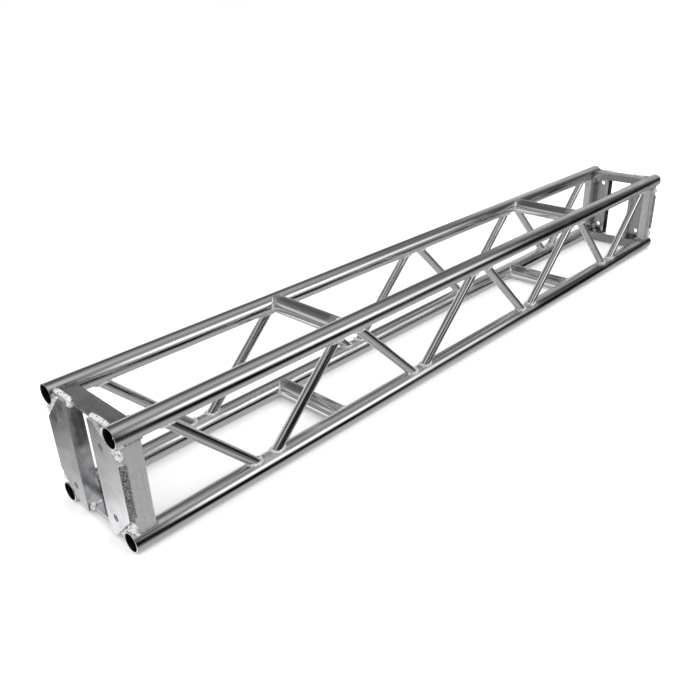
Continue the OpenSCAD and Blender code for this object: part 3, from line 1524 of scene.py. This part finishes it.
@dataclass
class EndWelds:
    """Beads of the end frames.

    Attributes:
        frames: The end frames that they hold together.
        radius: Radius of the beads at the angles' feet.
        foot_gap: How far their middle line stands off the angles' faces.
        foot_reach: Width of the feet, from a chord's axis towards the middle.
        heavy_radius: Radius of the beads on the plates.
        arcs: Depth behind the bolting face and stand-off from the chord, of each arc round a chord.
        arc_start: Where an arc starts round the chord, in degrees from its outer side over the top.
        arc_turn: How far it goes round, in degrees.
        arc_steps: Steps along it.
        inner_gap: Stand-off of the lump in a frame's inner corner from the chord.
        inner_lean: Share of that lump's distance from the chord's axis that lies along Y, and along Z.
        weave_radius: Radius of the woven bead on a plate's outer edge.
        weave_depths: Depths of its turns behind the bolting face, the nearest first.
        weave_pitch: Height of one of its swings.
        seam_radius: Radius of the straight bead between plate and upright angle.
        seam_depth: Its depth behind the bolting face.
    """

    frames: EndFrames
    radius: float = 0.0030
    foot_gap: float = 0.0012
    foot_reach: float = 0.032
    heavy_radius: float = 0.0042
    arcs: tuple[tuple[float, float], ...] = ((0.0051, 0.0032), (0.0096, 0.0034), (0.0136, 0.0026))
    arc_start: float = 176.0
    arc_turn: float = 98.0
    arc_steps: int = 32
    inner_gap: float = 0.0075
    inner_lean: float = 0.72
    weave_radius: float = 0.0024
    weave_depths: tuple[float, float] = (0.0026, 0.0125)
    weave_pitch: float = 0.0030
    seam_radius: float = 0.0026
    seam_depth: float = 0.0150

    def foot_loop(self, away: float) -> list[Vector]:
        """Loop round the foot of the right rear side angle, on the top of the bottom chord.

        Args:
            away: How far the loop stands off the angle's faces.

        Returns:
            Corners of the loop, each on the chord's skin.
        """
        frames, layout = self.frames, self.frames.layout
        far, near = frames.plate_t + frames.angle_w, frames.plate_t
        face_y = frames.angle_d / 2
        leg_y = face_y - frames.angle_t
        outline = [
            (near - away, face_y + away), (far + away, face_y + away), (far + away, -face_y - away),
            (far - frames.angle_t - away, -face_y - away), (far - frames.angle_t - away, leg_y - away),
            (near - away, leg_y - away),
        ]
        skin = layout.chord_r + away / 2
        loop = []
        steps = 10
        for before, after in zip(outline, outline[1:] + outline[:1]):
            for number in range(steps):
                inboard = before[0] + (after[0] - before[0]) * number / steps
                y = before[1] + (after[1] - before[1]) * number / steps
                rise = math.sqrt(max(skin**2 - y**2, 0.0))
                loop.append(frames.spot(inboard, layout.half_spacing + y, rise - layout.half_spacing))
        return loop

    def corner_arc(self, inboard: float, out: float) -> list[Vector]:
        """Arc round the top rear chord on the side that faces the plate's chamfer.

        Args:
            inboard: Its depth behind the bolting face.
            out: How far it stands off the chord.

        Returns:
            Points along the arc.
        """
        axis, reach = self.frames.layout.half_spacing, self.frames.layout.chord_r + out
        arc = []
        for number in range(self.arc_steps + 1):
            angle = math.radians(self.arc_start + self.arc_turn * number / self.arc_steps)
            arc.append(
                self.frames.spot(inboard, axis + reach * math.cos(angle), axis + reach * math.sin(angle))
            )
        return arc

    def weave(self, half_run: float, y: float) -> list[Vector]:
        """Zigzag up a plate's outer edge.

        Args:
            half_run: Half its height.
            y: Its place across the section.

        Returns:
            The turns.
        """
        near, far = self.weave_depths
        swings = round(2 * half_run / self.weave_pitch)
        turns = []
        for number in range(swings + 1):
            height = -half_run + 2 * half_run * number / swings
            turns.append(self.frames.spot(near if number % 2 else far, y, height))
        return turns

    def quarter(self, gun: BeadGun) -> list[bpy.types.Object]:
        """Beads of the top rear quarter of the right end.

        Args:
            gun: Lays the beads.

        Returns:
            The beads.
        """
        frames, layout, spot = self.frames, self.frames.layout, self.frames.spot
        low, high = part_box("bolt_plate_right_rear")
        top, seam, inner_y, axis = (high.z - low.z) / 2, frames.plate_t, low.y, layout.half_spacing
        chord_side = axis - math.sqrt(layout.chord_r**2 - (frames.angle_d / 2) ** 2)
        flange_top = top - frames.angle_t
        top_seam = [spot(seam - 0.001, inner_y + 0.001, top - 0.0005), spot(seam - 0.001, chord_side, top)]
        second_pass = [
            spot(seam + 0.0045, inner_y + 0.002, top), spot(seam + 0.005, chord_side, top + 0.0005),
        ]
        flange_pass = [
            spot(seam - 0.004, inner_y + 0.0005, top - 0.002),
            spot(seam, inner_y, flange_top),
            spot(frames.flange_depth - 0.002, inner_y, flange_top),
            spot(frames.flange_depth, inner_y + frames.flange_t, flange_top),
        ]
        beads = [gun.lay(self.corner_arc(inboard, out), self.heavy_radius) for inboard, out in self.arcs]
        for path, share in ((top_seam, 1.0), (second_pass, 0.8), (flange_pass, 0.85)):
            beads.append(gun.lay(path, self.heavy_radius * share))
        inside = axis - self.inner_lean * (layout.chord_r + self.inner_gap)
        for middle, reach in (
            (spot(0.0078, axis + 0.010, frames.outer_edge / 2 + 0.021), (0.0078, 0.0085, 0.0145)),
            (spot(seam + 0.0005, inner_y + 0.0005, top - 0.0070), (0.0080, 0.0085, 0.0125)),
            (spot(seam + 0.0040, inside, inside), (0.0060, 0.0125, 0.0125)),
            (spot(0.0085, axis - 0.0035, axis - 0.0360), (0.0060, 0.0085, 0.0095)),
            (spot(0.0085, axis - 0.0360, axis - 0.0035), (0.0060, 0.0085, 0.0095)),
        ):
            beads.append(gun.blob(middle, Vector(reach)))
        return beads

    def number_sooty(self, beads: bpy.types.Object) -> None:
        """Number the faces of the beads along the plates' outer edges and round the angles' feet.

        Args:
            beads: The joined beads of one end.
        """
        frames, layout = self.frames, self.frames.layout
        _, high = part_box("bolt_plate_right_rear")
        for face in beads.data.polygons:
            inboard = layout.half_length - abs(face.center.x)
            out, height = abs(face.center.y), abs(face.center.z - layout.centre_z)
            on_edge = out > high.y - self.radius and height < frames.outer_edge / 2
            behind_plate = inboard > frames.plate_t + self.heavy_radius
            at_foot = behind_plate and out > layout.half_spacing - self.foot_reach
            if on_edge or at_foot:
                face.material_index = SOOTY_NUMBER

    def rear_side(self, gun: BeadGun) -> list[bpy.types.Object]:
        """Beads along the outer edge of the right rear plate.

        Args:
            gun: Lays the beads.

        Returns:
            The woven bead and the straight one behind it.
        """
        frames = self.frames
        _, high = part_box("bolt_plate_right_rear")
        half_run = frames.outer_edge / 2 - 0.001
        seam_y = frames.layout.half_spacing + frames.angle_d / 2 + 0.001
        seam = [frames.spot(self.seam_depth, seam_y, height) for height in (-half_run, half_run)]
        return [
            gun.lay(self.weave(half_run, high.y + 0.0002), self.weave_radius),
            gun.lay(seam, self.seam_radius),
        ]

    def build(self, gun: BeadGun, finish: bpy.types.Material, sooty: bpy.types.Material) -> None:
        """Lay and dress the beads of both ends.

        Args:
            gun: Lays the beads.
            finish: Finish of the clean beads.
            sooty: Finish of the beads on the plates' outer edges and at the angles' feet.
        """
        frames = self.frames
        foot = gun.lay(self.foot_loop(self.foot_gap), self.radius, closed=True)
        quarter = joined(self.quarter(gun), "quarter_welds")
        edge = joined(self.rear_side(gun), "edge_welds")
        flip = frames.layout.centre_z
        for end in End:
            beads = []
            for side in Side:
                beads.append(moved_copy(edge, "edge", mirror(end, side)))
                for height in (0.0, flip):
                    beads.append(moved_copy(quarter, "quarter", mirror(end, side, height)))
                    beads.append(moved_copy(foot, "foot", mirror(end, side, height)))
                    for level in Level:
                        turn = frames.quarter_turn(level)
                        beads.append(moved_copy(foot, "foot", mirror(end) @ turn @ mirror(level_flip=height)))
            node = f"end_welds_{word(end)}"
            piece = joined(beads, node + "_beads")
            self.number_sooty(piece)
            dress_beads(piece, (finish, sooty), node)
        for pattern in (foot, quarter, edge):
            bpy.data.objects.remove(pattern)


# ---------------------------------------------------------------------------------------------------------
# Studio
# ---------------------------------------------------------------------------------------------------------


class Compass(Enum):
    """What a ring of light is measured by."""

    ROUND_THE_LENGTH = "degrees round X, from the rear horizon over the top to the front and below"
    ELEVATION = "degrees above the horizon"


@dataclass(frozen=True)
class LightRing:
    """Brightness of the surroundings in one family of directions.

    Attributes:
        compass: What its angles are.
        stops: Pairs of an angle in degrees and the brightness there, in rising order.
        full: Brightness that a curve's top stands for.
    """

    compass: Compass
    stops: tuple[tuple[float, float], ...]
    full: float = 2.0

    def level(self, bench: NodeBench, toward: Socket) -> Socket:
        """Look up the ring's brightness.

        Args:
            bench: The world's bench.
            toward: The direction that is looked up.

        Returns:
            The brightness's socket.
        """
        parts = bench.axes(toward)
        if self.compass is Compass.ROUND_THE_LENGTH:
            angle = bench.math("ARCTAN2", parts["Z"], parts["Y"])
            place = bench.math("FRACT", bench.math("DIVIDE", angle, math.tau))
            positions = [degrees / 360 for degrees, _ in self.stops]
        else:
            place = bench.math("MULTIPLY_ADD", parts["Z"], 0.5, 0.5)
            positions = [(math.sin(math.radians(degrees)) + 1) / 2 for degrees, _ in self.stops]
        curve = bench.add("ShaderNodeFloatCurve")
        points = curve.mapping.curves[0].points
        for position, (_, brightness) in list(zip(positions, self.stops))[1:-1]:
            points.new(position, brightness / self.full)
        points[0].location = (0.0, self.stops[0][1] / self.full)
        points[len(points) - 1].location = (1.0, self.stops[-1][1] / self.full)
        for point in points:
            point.handle_type = "AUTO_CLAMPED"
        curve.mapping.update()
        bench.feed(curve.inputs["Value"], place)
        return bench.math("MULTIPLY", curve.outputs[0], self.full)


@dataclass
class Studio:
    """Floor, surroundings, lamp and camera.

    The surroundings are long soft strips and dark gaps that run beside the section, so that its tubes show
    straight bright and dark lines. They change from the strips square to the section, through those at a
    slant, to those near its line.

    Attributes:
        square_on: Strips seen square to the section.
        slanting: Strips seen at a slant.
        lengthwise: Strips seen near the line of the section.
        end_on: Surroundings beyond the left end and below the horizon.
        over_left: Strips over the left end.
        slanting_from: Sizes of a direction's X between which the slanting strips come in.
        lengthwise_from: Sizes of its X between which the lengthwise strips come in.
        over_left_from: Values of its X between which the strips over the left end come in.
        end_on_from: Values of its X between which the surroundings beyond the left end come in.
        end_on_below: Values of its Z between which those come in.
        floor_size: Width of the floor.
        floor_tone: Brightness of the floor's surface.
        backdrop: Brightness of the backdrop.
        lamp_energy: Strength of the overhead lamp.
        lamp_width: Angle that the lamp fills, in degrees.
        aim: The point that the camera looks at.
        distance: Its distance from that point.
        azimuth: Turn of the camera about the vertical, in degrees from the front.
        elevation: Its height above the horizon, in degrees.
        roll: Its roll, in degrees.
        lens: Its focal length in millimetres, on a sensor 36 mm wide.
    """

    square_on: LightRing = LightRing(Compass.ROUND_THE_LENGTH, (
        (0, 0.95), (14, 0.68), (23, 0.45), (32, 0.14), (42, 0.09), (56, 0.09), (66, 0.16), (78, 0.30),
        (94, 0.40), (110, 0.36), (122, 0.22), (132, 0.28), (144, 0.75), (153, 1.60), (163, 1.30), (172, 0.50),
        (181, 0.06), (190, 0.0), (202, 0.0), (212, 0.06), (222, 0.26), (232, 0.39), (254, 0.42), (274, 0.42),
        (294, 0.46), (314, 0.52), (330, 0.75), (345, 1.10), (360, 0.95),
    ))
    slanting: LightRing = LightRing(Compass.ROUND_THE_LENGTH, (
        (0, 0.40), (14, 0.22), (34, 0.11), (54, 0.10), (74, 0.17), (94, 0.15), (114, 0.17), (124, 0.28),
        (134, 0.60), (144, 1.00), (154, 0.90), (164, 0.42), (174, 0.12), (184, 0.0), (192, 0.02),
        (204, 0.09), (214, 0.17), (224, 0.30), (244, 0.40), (264, 0.43), (284, 0.55), (304, 0.65),
        (320, 0.70), (344, 0.45), (360, 0.40),
    ))
    lengthwise: LightRing = LightRing(Compass.ROUND_THE_LENGTH, (
        (0, 0.62), (34, 0.50), (54, 0.42), (74, 0.27), (94, 0.13), (114, 0.08), (134, 0.05), (154, 0.07),
        (174, 0.03), (194, 0.0), (214, 0.0), (226, 0.02), (236, 0.07), (246, 0.20), (256, 0.34), (272, 0.48),
        (314, 0.48), (344, 0.62), (360, 0.62),
    ))
    end_on: LightRing = LightRing(Compass.ELEVATION, (
        (-90, 0.50), (-50, 0.70), (-39, 1.10), (-36, 0.80), (-33.5, 0.54), (-30.2, 0.42), (-29.4, 0.07),
        (-28.2, 0.07), (-26.5, 0.26), (-20, 0.27), (-8, 0.30), (4, 0.50), (90, 0.50),
    ))
    over_left: LightRing = LightRing(Compass.ROUND_THE_LENGTH, (
        (0, 0.50), (10, 0.68), (18, 0.72), (27, 0.55), (37, 0.20), (48, 0.11), (60, 0.09), (70, 0.12),
        (80, 0.24), (90, 0.42), (100, 0.56), (112, 0.54), (120, 0.42), (130, 0.24), (139, 0.11), (148, 0.03),
        (160, 0.0), (184, 0.0), (200, 0.04), (240, 0.40), (310, 0.40), (345, 0.40), (360, 0.50),
    ))
    slanting_from: tuple[float, float] = (0.50, 0.70)
    lengthwise_from: tuple[float, float] = (0.76, 0.88)
    over_left_from: tuple[float, float] = (0.16, -0.04)
    end_on_from: tuple[float, float] = (-0.08, -0.28)
    end_on_below: tuple[float, float] = (0.0, -0.14)
    floor_size: float = 60.0
    floor_tone: float = 0.9
    backdrop: float = 1.0
    lamp_energy: float = 4.2
    lamp_width: float = 120.0
    aim: tuple[float, float, float] = (-0.43, 0.0, 0.1165)
    distance: float = 2.039
    azimuth: float = -45.73
    elevation: float = 26.94
    roll: float = -1.887
    lens: float = 37.75

    def floor(self) -> None:
        """Lay the plain pale floor."""
        bpy.ops.mesh.primitive_plane_add(size=self.floor_size, location=(0, 0, 0))
        floor = bpy.context.object
        floor.name = "floor"
        floor.visible_glossy = False
        material = bpy.data.materials.new("pale_floor")
        material.use_nodes = True
        shader = material.node_tree.nodes["Principled BSDF"]
        shader.inputs["Base Color"].default_value = (self.floor_tone, self.floor_tone, self.floor_tone, 1.0)
        shader.inputs["Roughness"].default_value = 0.9
        shader.inputs["Specular IOR Level"].default_value = 0.1
        floor.data.materials.append(material)

    def surroundings(self) -> None:
        """Set the surroundings that the metal reflects, and a plain pale backdrop behind it."""
        world = bpy.data.worlds.new("studio")
        bpy.context.scene.world = world
        world.use_nodes = True
        bench = NodeBench(world.node_tree)
        world.node_tree.nodes.clear()
        toward = bench.add("ShaderNodeTexCoord").outputs["Generated"]
        parts = bench.axes(toward)
        steepness = bench.math("ABSOLUTE", parts["X"])
        beyond_left = bench.ramp(parts["X"], *self.end_on_from)
        below = bench.ramp(parts["Z"], *self.end_on_below)
        level = self.square_on.level(bench, toward)
        for ring, share in (
            (self.slanting, bench.ramp(steepness, *self.slanting_from)),
            (self.lengthwise, bench.ramp(steepness, *self.lengthwise_from)),
            (self.over_left, bench.ramp(parts["X"], *self.over_left_from)),
            (self.end_on, bench.math("MULTIPLY", beyond_left, below)),
        ):
            mix = bench.add("ShaderNodeMix", data_type="FLOAT")
            bench.feed(mix.inputs[0], share)
            bench.feed(mix.inputs[2], level)
            bench.feed(mix.inputs[3], ring.level(bench, toward))
            level = mix.outputs[0]
        lit = bench.add("ShaderNodeBackground")
        bench.feed(lit.inputs["Strength"], level)
        plain = bench.add("ShaderNodeBackground")
        plain.inputs["Strength"].default_value = self.backdrop
        for shader in (lit, plain):
            shader.inputs["Color"].default_value = (1.0, 1.0, 1.0, 1.0)
        choice = bench.add("ShaderNodeMixShader")
        bench.feed(choice.inputs[0], bench.add("ShaderNodeLightPath").outputs["Is Camera Ray"])
        bench.feed(choice.inputs[1], lit.outputs[0])
        bench.feed(choice.inputs[2], plain.outputs[0])
        bench.feed(bench.add("ShaderNodeOutputWorld").inputs["Surface"], choice.outputs[0])

    def lamp(self) -> None:
        """Hang one very soft lamp overhead, which lights the floor."""
        tilt = (math.radians(12), math.radians(-8), 0)
        bpy.ops.object.light_add(type="SUN", location=(0, 0, 4), rotation=tilt)
        lamp = bpy.context.object
        lamp.name = "overhead_lamp"
        lamp.data.energy = self.lamp_energy
        lamp.data.angle = math.radians(self.lamp_width)
        lamp.visible_glossy = False

    def camera(self) -> None:
        """Stand the camera at the left front, above the section."""
        azimuth, elevation = math.radians(self.azimuth), math.radians(self.elevation)
        back = Vector((
            math.sin(azimuth) * math.cos(elevation), -math.cos(azimuth) * math.cos(elevation),
            math.sin(elevation),
        ))
        data = bpy.data.cameras.new("camera")
        data.lens = self.lens
        data.sensor_width = 36.0
        camera = bpy.data.objects.new("camera", data)
        bpy.context.scene.collection.objects.link(camera)
        roll = Matrix.Rotation(math.radians(self.roll), 4, "Z")
        turn = back.to_track_quat("Z", "Y").to_matrix().to_4x4() @ roll
        camera.matrix_world = Matrix.Translation(Vector(self.aim) + self.distance * back) @ turn
        bpy.context.scene.camera = camera

    def build(self) -> None:
        """Set up the whole studio."""
        self.floor()
        self.surroundings()
        self.lamp()
        self.camera()
        bpy.context.scene.view_settings.view_transform = "Standard"


def main() -> None:
    """Build the studio and every sub-assembly in order."""
    logging.basicConfig(level=logging.INFO, format="%(name)s: %(message)s")
    layout = Layout.from_frame()
    Studio().build()

    bore = BoreFinish().material()
    chord_finishes = {
        Level.TOP: TubeFinish("chord_top_skin", HeatPlace.EVEN_LACING_POINTS, layout.pitch).material(),
        Level.BOTTOM: TubeFinish("chord_bottom_skin", HeatPlace.ODD_LACING_POINTS, layout.pitch).material(),
    }
    brace_finish = TubeFinish("brace_skin", HeatPlace.TUBE_ENDS, layout.pitch, roughness=0.14).material()
    fillet_finish = WeldFinish("weld_fillet", metal_share=0.6, soot=0.75).material()
    heavy_finish = WeldFinish("weld_heavy", 0.97, metal_share=0.5, soot=0.8, lump_depth=0.0009).material()
    sooty_finish = WeldFinish("weld_sooty", 0.72, metal_share=0.97, soot=1.0, lump_depth=0.0011).material()

    Chords(layout).build(chord_finishes, bore)
    SideLacing(layout).build(brace_finish, bore)
    CrossTubes(layout).build(brace_finish, bore)
    frames = EndFrames(layout)
    frames.build(
        BarFinish("plate_face", (500, 500, 6), roughness=0.15).material(),
        BarFinish("upright_angle_face", (420, 420, 5), tone=0.9, roughness=0.30, metal_share=0.78).material(),
        # the level angles are the same stock as the upright ones; their lower tone is painted shade
        BarFinish("level_angle_face", (420, 5, 420), tone=0.66, roughness=0.20).material(),
        SawnFinish().material(),
    )
    gun = BeadGun()
    BraceWelds(layout).build(gun, fillet_finish)
    CrossTubeWelds(layout).build(gun, fillet_finish)
    EndWelds(frames).build(gun, heavy_finish, sooty_finish)


if __name__ == "__main__":
    main()
